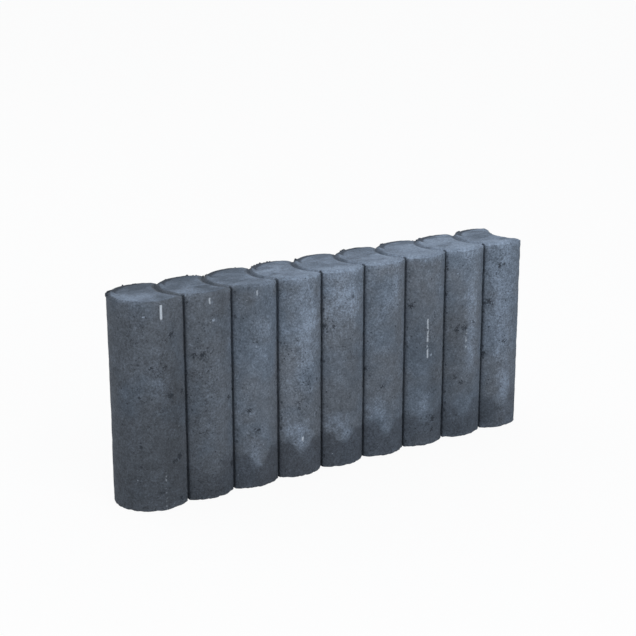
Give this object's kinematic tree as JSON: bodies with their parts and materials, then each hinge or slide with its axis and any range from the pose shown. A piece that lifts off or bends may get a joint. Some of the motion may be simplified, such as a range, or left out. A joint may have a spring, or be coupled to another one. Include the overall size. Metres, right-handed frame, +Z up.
{
  "type": "palisade block",
  "caption": "Concrete garden edging block moulded as a row of touching round posts, with a rounded end that nests in the hollow end of the next block.",
  "frame": {"origin": "middle of the block's underside, at the centre of its bounding box", "axes": "+X along the row of posts, from the rounded nose end to the hollow end; +Y through the thickness, from the front to the back; +Z up, from the flat underside to the chamfered tops"},
  "size_m": [0.5088, 0.08, 0.225],
  "materials": {
    "concrete": "matte"
  },
  "bodies": {
    "root": {"palisade_block": "concrete"}
  },
  "joints": []
}
